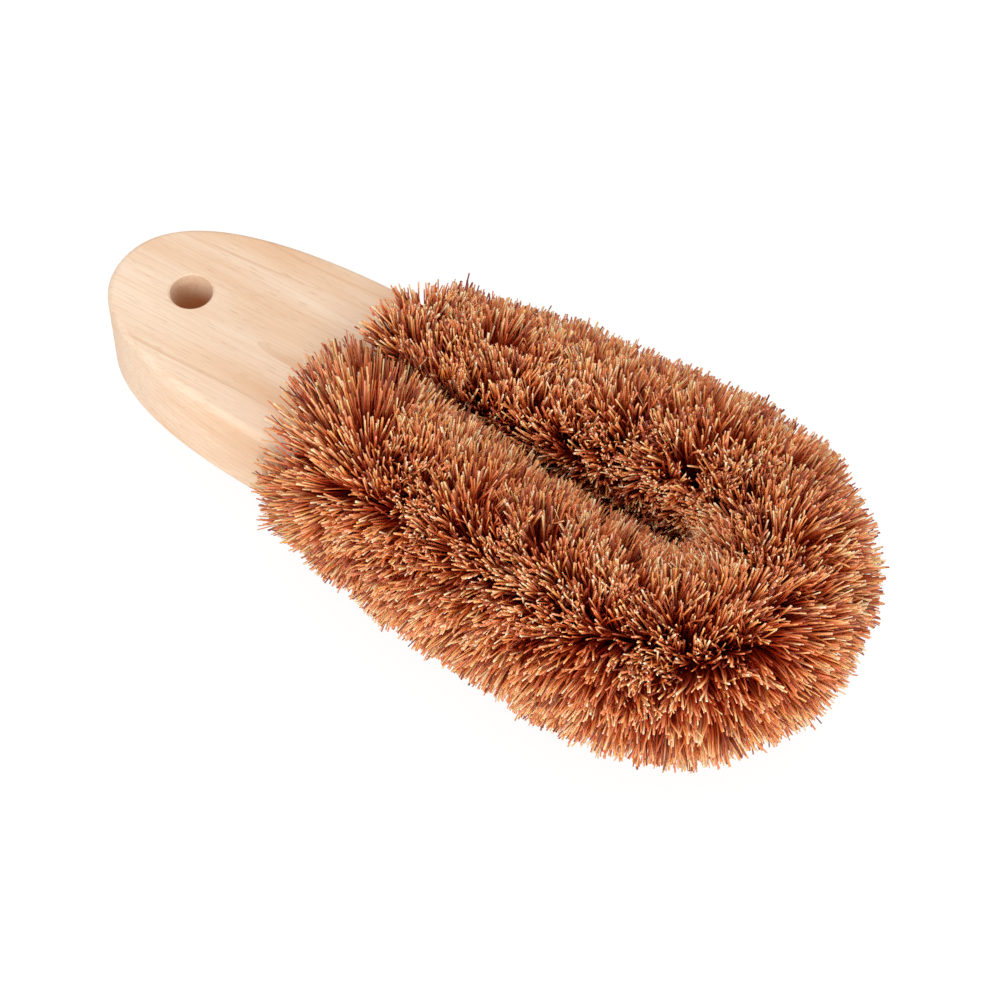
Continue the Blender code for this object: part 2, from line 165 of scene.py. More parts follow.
def rubberwoodMaterial(look):
    # rubberwood, planed and sanded, no varnish: pale and dry, with faint year rings and short open pores
    material, tree = newMaterial("rubberwoodSanded")
    place = addNode(tree, "ShaderNodeTexCoord").outputs["Object"]

    grain = {}
    for name, (across, along, detail, roughness) in woodGrain.items():
        mapped = addNode(tree, "ShaderNodeMapping", {}, {
            "Vector": place, "Scale": (1.0 / (along * mm), 1.0 / (across * mm), 1.0 / (across * mm))})
        grain[name] = addNode(tree, "ShaderNodeTexNoise", {}, {
            "Vector": mapped.outputs["Vector"], "Scale": 1.0,
            "Detail": detail, "Roughness": roughness}).outputs

    # year rings are distances from the tree's middle, which lay along the board and under it
    turned = addNode(tree, "ShaderNodeMapping", {}, {
        "Vector": place, "Rotation": (0.0, look["pithTilt"], look["pithTilt"]),
        "Location": (0.0, look["pithAside"] * mm, look["pithBelow"] * mm)})
    wander = look["ringWander"] * mm
    moved = addNode(tree, "ShaderNodeVectorMath", {"operation": "MULTIPLY_ADD"}, {
        0: grain["wander"]["Color"], 1: (wander, wander, wander), 2: turned.outputs["Vector"]})
    section = addNode(tree, "ShaderNodeVectorMath", {"operation": "MULTIPLY"}, {
        0: moved.outputs["Vector"], 1: (0.0, 1.0, 1.0)})
    fromPith = addNode(tree, "ShaderNodeVectorMath", {"operation": "LENGTH"}, {
        0: section.outputs["Vector"]})
    years = addNode(tree, "ShaderNodeMath", {"operation": "DIVIDE"}, {
        0: fromPith.outputs["Value"], 1: look["ringWidth"] * mm})
    season = addNode(tree, "ShaderNodeMath", {"operation": "FRACT"}, {0: years.outputs["Value"]})

    # how far from the hanging hole's axis and from the board's middle, for the painted shade in the hole
    fromHole = addNode(tree, "ShaderNodeVectorMath", {"operation": "SUBTRACT"}, {
        0: place, 1: Vector(holeMiddle) * mm})
    level = addNode(tree, "ShaderNodeVectorMath", {"operation": "MULTIPLY"}, {
        0: fromHole.outputs["Vector"], 1: (1.0, 1.0, 0.0)})
    fromAxis = addNode(tree, "ShaderNodeVectorMath", {"operation": "LENGTH"}, {0: level.outputs["Vector"]})
    height = addNode(tree, "ShaderNodeSeparateXYZ", {}, {"Vector": fromHole.outputs["Vector"]})
    fromMiddle = addNode(tree, "ShaderNodeMath", {"operation": "ABSOLUTE"}, {0: height.outputs["Z"]})

    values = {
        "lines": grain["lines"]["Fac"], "late": season.outputs["Value"], "faint": grain["faint"]["Fac"],
        "pores": grain["pores"]["Fac"], "holeWall": fromAxis.outputs["Value"],
        "holeShadeDepth": fromMiddle.outputs["Value"]}
    masks = {}
    for name, (low, high, atLow, atHigh) in woodMasks.items():
        masks[name] = addNode(tree, "ShaderNodeMapRange", {"interpolation_type": "SMOOTHSTEP"}, {
            "Value": values[name], "From Min": low, "From Max": high,
            "To Min": atLow, "To Max": atHigh}).outputs["Result"]
    lateWood = addNode(tree, "ShaderNodeMath", {"operation": "MULTIPLY"}, {
        0: masks["late"], 1: masks["faint"]})
    # painted shade in the hanging hole: only on its wall, darker towards the middle of the board
    holeShadeAndGrain = addNode(tree, "ShaderNodeMath", {"operation": "MULTIPLY"}, {
        0: masks["holeWall"], 1: masks["holeShadeDepth"]})

    # colours lie over one another: bands, fine lines, year rings, pores, and painted shade with the end
    # grain's tone deep in the hole
    colour = setRamp(addNode(tree, "ShaderNodeValToRGB", {}, {"Fac": grain["bands"]["Fac"]}), [
        (0.28, look["warm"]), (0.48, look["ground"]), (0.72, look["pale"])]).outputs["Color"]
    for mask, over in ((masks["lines"], "warm"), (lateWood.outputs["Value"], "ring"),
                       (masks["pores"], "pore"), (holeShadeAndGrain.outputs["Value"], "holeShadeAndGrain")):
        colour = addNode(tree, "ShaderNodeMix", {"data_type": "RGBA"}, {
            "Factor": mask, "A": colour, "B": linearColour(look[over])}).outputs["Result"]

    relief = addNode(tree, "ShaderNodeMath", {"operation": "MULTIPLY_ADD"}, {
        0: grain["lines"]["Fac"], 1: look["lineRelief"], 2: grain["pores"]["Fac"]})
    bump = addNode(tree, "ShaderNodeBump", {}, {
        "Height": relief.outputs["Value"], "Strength": look["bumpStrength"],
        "Distance": look["bumpDepth"] * mm})
    dryness = addNode(tree, "ShaderNodeMapRange", {}, {
        "Value": grain["bands"]["Fac"], "To Min": look["roughness"][0], "To Max": look["roughness"][1]})
    surface = addNode(tree, "ShaderNodeBsdfPrincipled", {}, {
        "Base Color": colour, "Roughness": dryness.outputs["Result"], "Normal": bump.outputs["Normal"],
        "IOR": look["ior"], "Specular IOR Level": look["specular"]})
    addNode(tree, "ShaderNodeOutputMaterial", {}, {"Surface": surface.outputs["BSDF"]})
    return material


coirFinish = {
    "tints": [  # from dark to straw, with golden and pinkish fibres between
        (0.00, "#863c20"), (0.16, "#b86448"), (0.28, "#dc8c50"), (0.42, "#ee9c82"), (0.54, "#fcc488"),
        (0.68, "#ffc8b0"), (0.80, "#ffe0b4"), (1.00, "#fff2e8")],
    "length": [  # from the stem to the outside: painted shade, deep red in the depth where the brush is dark inside, gold outside, and a pale cut end that is partly its own colour and partly a painted highlight
        (0.00, "#b04c28"), (0.50, "#cc5836"), (0.66, "#d66c46"), (0.78, "#de9468"), (0.87, "#e8b884"),
        (0.94, "#f4d8b0"), (0.968, "#fae4c0"), (0.98, "#fff4ee")],
    "roughness": 0.38,
    "ior": 1.5,
    "specular": 0.45,
    "glow": 0.4,             # light that soaks through a fibre
    "glowColour": (1.0, 0.3, 0.1),
    "glowDepth": 0.4,        # mm
}


def coirMaterial(look):
    # coir: brown coconut husk fibre, retted and cut: waxy rods, rust to straw, with painted shade that
    # darkens them towards the stem a fibre's own tint is its place across the map, and up the map lies its
    # length from stem to outside, which carries the painted shade
    material, tree = newMaterial("coirFibreCut")
    place = addNode(tree, "ShaderNodeUVMap", {"uv_map": "OFBake"})
    parts = addNode(tree, "ShaderNodeSeparateXYZ", {}, {"Vector": place.outputs["UV"]})
    tint = setRamp(addNode(tree, "ShaderNodeValToRGB", {}, {"Fac": parts.outputs["X"]}), look["tints"])
    # painted shade along each fibre: darker and redder towards the stem, with a paler cut end that is
    # partly a painted highlight
    paintedShade = setRamp(addNode(tree, "ShaderNodeValToRGB", {}, {"Fac": parts.outputs["Y"]}), look["length"])
    colour = addNode(tree, "ShaderNodeMix", {"data_type": "RGBA", "blend_type": "MULTIPLY"}, {
        "Factor": 1.0, "A": tint.outputs["Color"], "B": paintedShade.outputs["Color"]})
    surface = addNode(tree, "ShaderNodeBsdfPrincipled", {}, {
        "Base Color": colour.outputs["Result"], "Roughness": look["roughness"], "IOR": look["ior"],
        "Specular IOR Level": look["specular"], "Subsurface Weight": look["glow"],
        "Subsurface Radius": look["glowColour"], "Subsurface Scale": look["glowDepth"] * mm})
    addNode(tree, "ShaderNodeOutputMaterial", {}, {"Surface": surface.outputs["BSDF"]})
    return material


wireFinish = {
    "zinc": [(0.35, "#8f9294"), (0.65, "#b9bcbe")],
    "patches": 700.0,        # noise cells in a metre, which gives zinc patches of about 1.5 mm
    "roughness": (0.32, 0.5),
    "bumpStrength": 0.2,
    "bumpDepth": 0.05,       # mm
}


def galvanisedMaterial(look):
    # galvanised steel wire: drawn, then zinc dipped, which leaves a dull grey with lighter patches
    material, tree = newMaterial("galvanisedWire")
    place = addNode(tree, "ShaderNodeTexCoord")
    patches = addNode(tree, "ShaderNodeTexNoise", {}, {
        "Vector": place.outputs["Object"], "Scale": look["patches"], "Detail": 3.0})
    colour = setRamp(addNode(tree, "ShaderNodeValToRGB", {}, {
        "Fac": patches.outputs["Fac"]}), look["zinc"])
    rough = addNode(tree, "ShaderNodeMapRange", {}, {
        "Value": patches.outputs["Fac"], "To Min": look["roughness"][0], "To Max": look["roughness"][1]})
    bump = addNode(tree, "ShaderNodeBump", {}, {
        "Height": patches.outputs["Fac"], "Strength": look["bumpStrength"],
        "Distance": look["bumpDepth"] * mm})
    surface = addNode(tree, "ShaderNodeBsdfPrincipled", {}, {
        "Base Color": colour.outputs["Color"], "Metallic": 1.0, "Roughness": rough.outputs["Result"],
        "Normal": bump.outputs["Normal"]})
    addNode(tree, "ShaderNodeOutputMaterial", {}, {"Surface": surface.outputs["BSDF"]})
    return material


rubberwood = rubberwoodMaterial(woodFinish)
coir = coirMaterial(coirFinish)
galvanised = galvanisedMaterial(wireFinish)
print("materials made")


# handle

def addRing(curve, knots, steps):
    # a closed outline: each knot is its place and the pulls of the curve before and after it
    spline = curve.splines.new("BEZIER")
    spline.bezier_points.add(len(knots) - 1)
    spline.use_cyclic_u = True
    spline.resolution_u = steps
    for point, (place, before, after) in zip(spline.bezier_points, knots):
        point.co = (place[0] * mm, place[1] * mm, 0.0)
        point.handle_left = ((place[0] + before[0]) * mm, (place[1] + before[1]) * mm, 0.0)
        point.handle_right = ((place[0] + after[0]) * mm, (place[1] + after[1]) * mm, 0.0)


def addDrill(name, rings, place, along, sides):
    # a closed round cutter: rings are pairs of distance along its axis and radius
    bm = bmesh.new()
    turns = [fullTurn * side / sides for side in range(sides)]
    loops = []
    for distance, radius in rings:
        loops.append([bm.verts.new((radius * math.cos(turn) * mm, radius * math.sin(turn) * mm,
                                    distance * mm)) for turn in turns])
    for low, high in zip(loops, loops[1:]):
        for side in range(sides):
            after = (side + 1) % sides
            bm.faces.new((low[side], low[after], high[after], high[side]))
    bm.faces.new(reversed(loops[0]))
    bm.faces.new(loops[-1])
    mesh = bpy.data.meshes.new(name)
    bm.to_mesh(mesh)
    bm.free()
    drill = addObject(name, mesh)
    drill.location = Vector(place) * mm
    drill.rotation_euler = Vector(along).to_track_quat("Z", "Y").to_euler()
    return drill


def buildBoard(size):
    # the outline is drawn as a curve, whose bevel rounds the board's edges
    curve = bpy.data.curves.new("handleBoard", "CURVE")
    curve.dimensions = "2D"
    curve.fill_mode = "BOTH"
    curve.extrude = (size["thickness"] / 2 - size["edgeRadius"]) * mm
    curve.bevel_depth = size["edgeRadius"] * mm
    curve.bevel_resolution = size["edgeSteps"]
    curve.offset = -size["edgeRadius"] * mm
    half = size["width"] / 2
    tail, side = size["tailFullness"], size["sideFullness"]
    addRing(curve, [
        ((-size["length"], 0.0), (0.0, tail), (0.0, -tail)),
        ((0.0, -half), (-side, 0.0), (0.0, half / 3)),
        ((0.0, half), (0.0, -half / 3), (-side, 0.0))], size["sideSteps"])
    shape = addObject("handleOutline", curve)
    bpy.context.view_layer.update()
    mesh = bpy.data.meshes.new_from_object(shape.evaluated_get(bpy.context.evaluated_depsgraph_get()))
    bpy.data.objects.remove(shape)

    bm = bmesh.new()
    bm.from_mesh(mesh)
    bmesh.ops.remove_doubles(bm, verts=bm.verts, dist=0.001 * mm)
    bmesh.ops.recalc_face_normals(bm, faces=bm.faces)
    bmesh.ops.translate(bm, verts=bm.verts, vec=Vector(frontOfHandle) * mm)
    bm.to_mesh(mesh)
    bm.free()
    mesh.name = "handleBody"
    return addObject("handleBody", mesh, rubberwood)


def buildHandle(size):
    body = buildBoard(size)
    face = size["thickness"] / 2
    hole, flare = size["holeDiameter"] / 2, size["holeChamfer"]
    bore, sides = size["boreDiameter"] / 2, size["drillSides"]
    drills = [addDrill("holeDrill", [
        (-face - flare, hole + 2 * flare), (-face + flare, hole), (face - flare, hole),
        (face + flare, hole + 2 * flare)], holeMiddle, (0, 0, 1), sides)]
    for side in (-1, 1):
        drills.append(addDrill("stemDrill", [(-size["boreDepth"], bore), (size["boreStart"], bore)], (
            frontOfHandle[0], side * size["boreOffset"], frontOfHandle[2]), (1, 0, 0), sides))
    for drill in drills:
        cut = body.modifiers.new(drill.name, "BOOLEAN")
        cut.operation = "DIFFERENCE"
        cut.solver = "EXACT"
        cut.object = drill
    bpy.context.view_layer.update()
    drilled = bpy.data.meshes.new_from_object(body.evaluated_get(bpy.context.evaluated_depsgraph_get()))
    body.modifiers.clear()
    body.data = drilled
    for drill in drills:
        bpy.data.objects.remove(drill)
    drilled.shade_smooth()
    drilled.set_sharp_from_angle(angle=math.radians(size["sharpAngle"]))
    flat = body.modifiers.new("flatFaces", "WEIGHTED_NORMAL")
    flat.weight = 100  # large faces keep their own direction
    flat.keep_sharp = True
    return body


handleBody = buildHandle(handle)
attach(handleBody, "root")
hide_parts("handle")
print("handle built")


# wires: the CAD strands have the right shape and only take their finish

for name in ("wire_strand_a", "wire_strand_b"):
    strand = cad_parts[name]
    strand.data.materials.clear()
    strand.data.materials.append(galvanised)
print("wires finished")


# coir

stem = {
    "legLength": 74.0,       # mm from the handle's front to the bend
    "bendRadius": 19.7,
    "twistPitch": 24.0,      # mm of stem for one turn of the wires
    "legSlices": 3,
    "bendSlices": 6,
}
stemLength = 2 * stem["legLength"] + math.pi * stem["bendRadius"]

fibre = {
    "seed": 11,
    "sliceSeed": 100,
    "perMillimetre": 275,    # fibre ends along one millimetre of stem
    "radius": 0.218,         # mm; real coir has about 0.15, and coarser fibres fill the brush with fewer
    "radiusSpread": 0.24,
    "rings": (0.0, 0.5, 0.8, 1.0),       # where on its length a fibre's rings are
    "taper": (1.0, 1.0, 0.97, 0.85),     # of the radius at each ring
    "rootRadius": 1.6,       # where a fibre leaves the wires
    "rootRun": 0.95,         # share of the reach that it would run square to them
    "lobePull": 0.1,         # how far fibres draw together on the two lobes of the twist
    "lobeDip": 0.9,          # the brush is a little lower between two turns of the twist
    "reach": 22.2,           # mm from the stem to the cut ends
    "reachAtHandle": 18.0,   # outwards; up and down it is the same all along
    "reachRamp": 34.0,       # mm of stem over which it changes
    "innerAtHandle": 26.2,   # towards the other leg
    "innerRamp": 55.0,
    "unevenness": 0.5,
    "shortShare": 0.5,       # fibres that end inside the brush
    "shortest": 0.64,
    "lean": 2.8,             # degrees, of one fibre
    "bow": 0.5,              # mm
    "hook": 0.18,            # mm, the last bit of a fibre
    "stray": 0.015,          # share of loose fibres
    "strayLean": 13.0,
    "strayHook": 3.0,        # times more hook
    "tintSpread": 0.30,
    "eye": 2.5,              # mm round the middle of the bend that stay free
    "ground": -21.9,
}

# fibres stick together in tufts, and tufts in bunches: size in mm at the cut ends, lean in degrees,
# pull as the share of the way to the tuft's middle, height in mm
tuft = {"size": 1.7, "lean": 4.5, "pull": (0.4, 1.0), "height": 0.3, "tint": 0.13}
bunch = {"size": 5.2, "lean": 3.6, "pull": (0.0, 0.25), "height": 0.2, "tint": 0.07}

# slow changes of lean along the brush, as a sum of waves
flow = {
    "lean": 5.5,             # degrees
    "waves": 7,
    "pace": (0.05, 0.45),    # radians on one millimetre of stem
    "turns": (1, 6),         # whole waves round the stem, the last not included
    "phase": (0.0, 6.3),
    "evenOut": 2.6,          # the sum is this much higher than one wave
}

# where the tips of the two legs meet, mm across the middle plane
meeting = {
    "right": -1.2,           # how far the right leg's tips stop short of the plane: they go past it
    "left": 1.6,
    "aside": 5.8,            # the parting moves this far towards the left leg beside the handle
    "ramp": 54.0,            # mm of stem over which it does
    "inNotch": 0.5,          # share of that which the notch takes back
    "spread": 0.8,
    "riseBy": 0.6,           # sine of the slope from which a fibre rises in full instead of crossing
    "pressed": 20.0,         # degrees that the right leg turns up those of the left leg that point at it
    "pressedRamp": (60.0, 30.0),         # mm from the handle where that starts and where it is in full
}

splay = {
    "length": 12.0,          # mm of stem beside the handle where fibres lean back over it
    "angle": 40.0,           # degrees at the handle on the right leg, for a fibre that stands up
    "angleAside": 50.0,      # degrees more for one that points sideways
    "angleShare": (0.75, 1.2),           # of that lean, from fibre to fibre
    "ringTurn": ((2, 0.75), (3, 1.2)),   # of that lean again, at the last two rings
    "ringStep": 0.54,        # of the rest of the fibre, from ring to ring
    "leastRest": 2.0,        # mm that a fibre stands past the edge before it leans
    "leftAngle": 20.0,       # on the left leg, only next to the handle
    "leftMiddle": -0.05,     # the sideways slope that this lean is for
    "leftFade": (0.8, 0.4),  # slopes away from it where the lean starts and where it is in full
    "aside": 0.25,           # how far these fibres turn sideways, as a tangent
    "asideUp": 0.3,          # and how much of that they turn up
    "edgeGap": 1.4,
    "frontGap": 0.5,         # mm that they keep clear of the handle's front
    "extra": 1.5,            # mm that the fibres of the right leg are longer there
    "extraAbove": -0.1,      # slope from which they are
    "stray": 2.5,            # mm that a loose fibre is longer still
    "strayAbove": 0.7,       # slope from which it is
    "strayAngle": 1.7,       # times more lean of a loose fibre on the left leg
}

# the board's corner parts the fibres of the left leg next to the handle and leaves a notch
notch = {
    "ramp": (3.2, 2.2),      # mm of stem from the handle where it starts and where it is in full
    "up": 14.0,              # degrees that it turns those above it up
    "down": 10.0,
    "depth": 1.3,            # mm less of reach above the board
    "aboveBoard": (0.0, 0.3),
    "aside": 6.5,            # mm less again over its corner
    "cornerOut": (0.1, 0.7),             # slopes outwards and upwards of the fibres over it
    "cornerUp": (-0.1, 0.2),
    "forward": 0.02,         # how far those just past the notch lean away from it, as a tangent
    "forwardRamp": (6.0, 2.0),
}

# each fibre's strip on the map: the tint's column, and the length up to the cut end
fibreMap = {
    "columns": 48,
    "margin": 0.1,           # of a column, on both sides of the strip
    "sideTop": 0.97,
    # the cut end's cap starts here on the ramp and is pale: partly its own colour, partly a painted
    # highlight
    "capFrom": 0.975,
}

upright = np.array([0.0, 0.0, 1.0])
almostNone = 1e-3
rng = np.random.default_rng(fibre["seed"])


def stemSlices():
    # the coir's nodes, and from where to where on the stem each one goes
    leg, legCount, bendCount = stem["legLength"], stem["legSlices"], stem["bendSlices"]
    bend = math.pi * stem["bendRadius"] / bendCount
    cuts = [i * leg / legCount for i in range(legCount + 1)]
    right = [("coir_right_%d" % (i + 1), cuts[i], cuts[i + 1]) for i in range(legCount)]
    middle = [("coir_bend_%d" % (i + 1), leg + i * bend, leg + (i + 1) * bend) for i in range(bendCount)]
    left = [("coir_left_%d" % (i + 1), stemLength - cuts[i + 1], stemLength - cuts[i])
            for i in range(legCount)]
    return right + middle + left


def scatter(group):
    # the middles of the tufts or bunches, one in each cell of a grid over the cut ends, and their traits
    rows = int(stemLength / group["size"]) + 2
    columns = int(fullTurn * fibre["reach"] / group["size"])
    return {"group": group, "rows": rows, "columns": columns,
            "shift": rng.uniform(0.0, 1.0, (rows, columns, 2)),
            "draw": rng.normal(0.0, 1.0, (rows, columns, 4))}


tuftField = scatter(tuft)
bunchField = scatter(bunch)
flowWaves = [(rng.uniform(*flow["pace"]), rng.integers(*flow["turns"]), rng.uniform(*flow["phase"]),
              rng.uniform(*flow["phase"])) for _ in range(flow["waves"])]


def ramp(value, start, end):
    # rises smoothly from 0 at start to 1 at end, which may also be the lower of the two
    share = np.clip((value - start) / (end - start), 0.0, 1.0)
    return share ** 2 * (3 - 2 * share)


def unitRows(rows):
    return rows / np.linalg.norm(rows, axis=1, keepdims=True)


def rowDot(first, second):
    return np.einsum("ij,ij->i", first, second)


def acrossFibre(direction, axis):
    # two directions square to each fibre and to each other
    sideA = unitRows(np.cross(direction, axis))
    return sideA, np.cross(direction, sideA)


def stemPlace(along):
    # the place on the stem, straight out of the U, and back along the stem, for each distance
    leg, radius = stem["legLength"], stem["bendRadius"]
    straight = (along < leg) | (along > stemLength - leg)
    side = np.where(along < stemLength / 2, -1.0, 1.0)
    fromHandle = np.where(along < stemLength / 2, along, stemLength - along)
    share = np.clip(fromHandle / leg, 0.0, 1.0)
    growth = radius - handle["boreOffset"]
    offset = handle["boreOffset"] + growth * ramp(fromHandle, 0.0, leg)
    slope = growth * 6 * share * (1 - share) / leg  # how fast a leg moves outwards
    turn = (along - leg) / radius - quarterTurn
    x = np.where(straight, fromHandle, leg + radius * np.cos(turn))
    y = np.where(straight, side * offset, radius * np.sin(turn))
    outX = np.where(straight, -slope, np.cos(turn))
    outY = np.where(straight, side, np.sin(turn))
    zero = np.zeros_like(x)
    out = unitRows(np.stack([outX, outY, zero], 1))
    back = np.stack([out[:, 1], -out[:, 0], zero], 1)
    return np.stack([x, y, zero], 1), out, back


def flowLean(along, angle):
    # radians along the stem and round it
    first, second = np.zeros_like(along), np.zeros_like(along)
    for pace, turns, phaseA, phaseB in flowWaves:
        first += np.sin(pace * along + turns * angle + phaseA)
        second += np.sin(pace * along - turns * angle + phaseB)
    lean = math.radians(flow["lean"]) / flow["evenOut"]
    return lean * first, lean * second


def nearest(field, along, angle, sliceRng):
    # what the nearest tuft or bunch does to each fibre: shift along and round the stem, height, tint
    group = field["group"]
    size, columns = group["size"], field["columns"]
    row = (along / size).astype(int)
    column = (angle / fullTurn * columns).astype(int)
    best = np.full(len(along), np.inf)
    shiftAlong, shiftAround = np.zeros_like(along), np.zeros_like(along)
    draw = np.zeros((len(along), 4))
    for stepRow in (-1, 0, 1):
        for stepColumn in (-1, 0, 1):
            r = np.clip(row + stepRow, 0, field["rows"] - 1)
            c = (column + stepColumn) % columns
            toAlong = (r + field["shift"][r, c, 0]) * size - along
            toAround = (c + field["shift"][r, c, 1]) * fullTurn / columns - angle
            toAround = (toAround + math.pi) % fullTurn - math.pi
            distance = np.hypot(toAlong, toAround * fibre["reach"])
            closer = distance < best
            best = np.where(closer, distance, best)
            shiftAlong = np.where(closer, toAlong, shiftAlong)
            shiftAround = np.where(closer, toAround, shiftAround)
            draw[closer] = field["draw"][r, c][closer]
    pull = sliceRng.uniform(*group["pull"], len(along))
    lean = math.radians(group["lean"])
    return np.stack([pull * shiftAlong / fibre["reach"] + lean * draw[:, 0],
                     pull * shiftAround + lean * draw[:, 1],
                     group["height"] * draw[:, 2], group["tint"] * draw[:, 3]])


def turnTips(tipAngle, pressed, parted):
    # the right leg presses up those of the left leg that point at it, and the board's corner parts others
    facing = np.where((tipAngle > quarterTurn) & (tipAngle < math.pi), -np.sin(2.0 * tipAngle), 0.0)
    tipAngle = tipAngle - pressed * facing
    corner = math.atan2(handle["thickness"] / 2, handle["width"] / 2 - handle["boreOffset"])
    above = np.where((tipAngle > corner) & (tipAngle < quarterTurn),
                     (quarterTurn - tipAngle) / (quarterTurn - corner), 0.0)
    below = np.where((tipAngle > 0.0) & (tipAngle <= corner), tipAngle / corner, 0.0)
    return tipAngle + parted * np.radians(notch["up"] * above - notch["down"] * below)


def riseAtMiddle(direction, out, room, nearHandle):
    # beside the handle the other leg is close, so fibres that would cross the middle plane rise instead
    inward = np.maximum(-rowDot(direction, out), 0.0)
    excess = np.maximum(inward - room / fibre["reach"], 0.0)
    excess = excess * np.sqrt(nearHandle) * ramp(direction[:, 2], 0.0, meeting["riseBy"])
    before, after = [np.sqrt(np.maximum(1.0 - part ** 2, 0.0)) for part in (inward, inward - excess)]
    return unitRows(direction + excess[:, None] * out + (after - before)[:, None] * upright)


def fullReach(direction, outward, fromHandle, parted, fromLobe):
    # how far a fibre that nothing stops goes from the middle of the stem
    waist = (fibre["reach"] - fibre["reachAtHandle"]) * ramp(fromHandle, fibre["reachRamp"], 0.0)
    inner = (fibre["innerAtHandle"] - fibre["reach"]) * ramp(fromHandle, fibre["innerRamp"], 0.0)
    reach = fibre["reach"] - np.where(outward > 0.0, waist * outward ** 2, inner * outward)
    overBoard = notch["depth"] * ramp(direction[:, 2], *notch["aboveBoard"])
    overCorner = notch["aside"] * ramp(outward, *notch["cornerOut"])
    overCorner = overCorner * ramp(direction[:, 2], *notch["cornerUp"])
    return reach - parted * (overBoard + overCorner) - fibre["lobeDip"] * np.sin(fromLobe) ** 2


def stopTips(reach, direction, outward, room, along, uneven):
    # tips stop short of the middle plane and of the bend's middle, and at the ground
    onLeg = (along < stem["legLength"]) | (along > stemLength - stem["legLength"])
    inward = np.maximum(-outward, almostNone)
    legRoom = (room - uneven) / inward
    bendRoom = (stem["bendRadius"] - fibre["eye"] - np.abs(uneven)) / inward
    reach = np.minimum(reach, np.where(onLeg, legRoom, bendRoom))
    downRoom = fibre["ground"] / np.minimum(direction[:, 2], -almostNone)
    return np.where(direction[:, 2] < -almostNone, np.minimum(reach, downRoom), reach)


def leanOverHandle(points, place, direction, reach, nearHandle, onLeft, parted, astray, sliceRng):
    # beside the handle a fibre clears the edge of the handle's front, then leans back over it
    count = len(points)
    sideways = direction[:, 1] * np.sign(place[:, 1])
    roomAcross = handle["width"] / 2 - np.sign(sideways) * np.abs(place[:, 1])
    roomUp = handle["thickness"] / 2
    blocked = np.maximum(np.abs(sideways) / roomAcross, np.abs(direction[:, 2]) / roomUp)
    edge = 1.0 / blocked + splay["edgeGap"]
    leftAngle = splay["leftAngle"] * ramp(np.abs(sideways - splay["leftMiddle"]), *splay["leftFade"])
    leftAngle = leftAngle * np.where(astray, splay["strayAngle"], parted)
    rightAngle = splay["angle"] + splay["angleAside"] * np.maximum(sideways, 0.0)
    lean = np.radians(np.where(onLeft, leftAngle, rightAngle)) * nearHandle
    lean = lean * sliceRng.uniform(*splay["angleShare"], count)
    bent = (lean > 0.0) & (edge + splay["leastRest"] < reach)
    knee = place + edge[:, None] * direction
    knee[:, 0] = np.maximum(knee[:, 0], splay["frontGap"])
    aside = sliceRng.normal(0.0, splay["aside"], count)
    behind = unitRows(np.stack([-np.ones(count), aside, np.abs(aside) * splay["asideUp"]], 1))
    longer = splay["stray"] * (astray & (direction[:, 2] > splay["strayAbove"]))
    rest = (reach - edge + longer)[:, None]
    points[bent, 1] = knee[bent]
    tip = knee
    for ring, share in splay["ringTurn"]:
        turn = (share * lean)[:, None]
        tip = tip + splay["ringStep"] * rest * unitRows(np.cos(turn) * direction + np.sin(turn) * behind)
        points[bent, ring] = tip[bent]


def bowFibres(points, direction, reach, astray, sliceRng):
    # each fibre bows a little to one side and hooks at its tip
    count = len(points)
    sideA, sideB = acrossFibre(direction, upright + 0.01)  # a little off, as some fibres stand upright
    heading = sliceRng.uniform(0.0, fullTurn, count)
    bowSide = np.cos(heading)[:, None] * sideA + np.sin(heading)[:, None] * sideB
    bow = sliceRng.normal(0.0, fibre["bow"], count)[:, None] * (reach / fibre["reach"])[:, None]
    for ring, share in enumerate(fibre["rings"]):
        points[:, ring] += 4 * share * (1 - share) * bow * bowSide
    hook = sliceRng.normal(0.0, fibre["hook"], count) * np.where(astray, fibre["strayHook"], 1.0)
    points[:, -1] += hook[:, None] * bowSide
    points[:, :, 2] = np.maximum(points[:, :, 2], fibre["ground"])


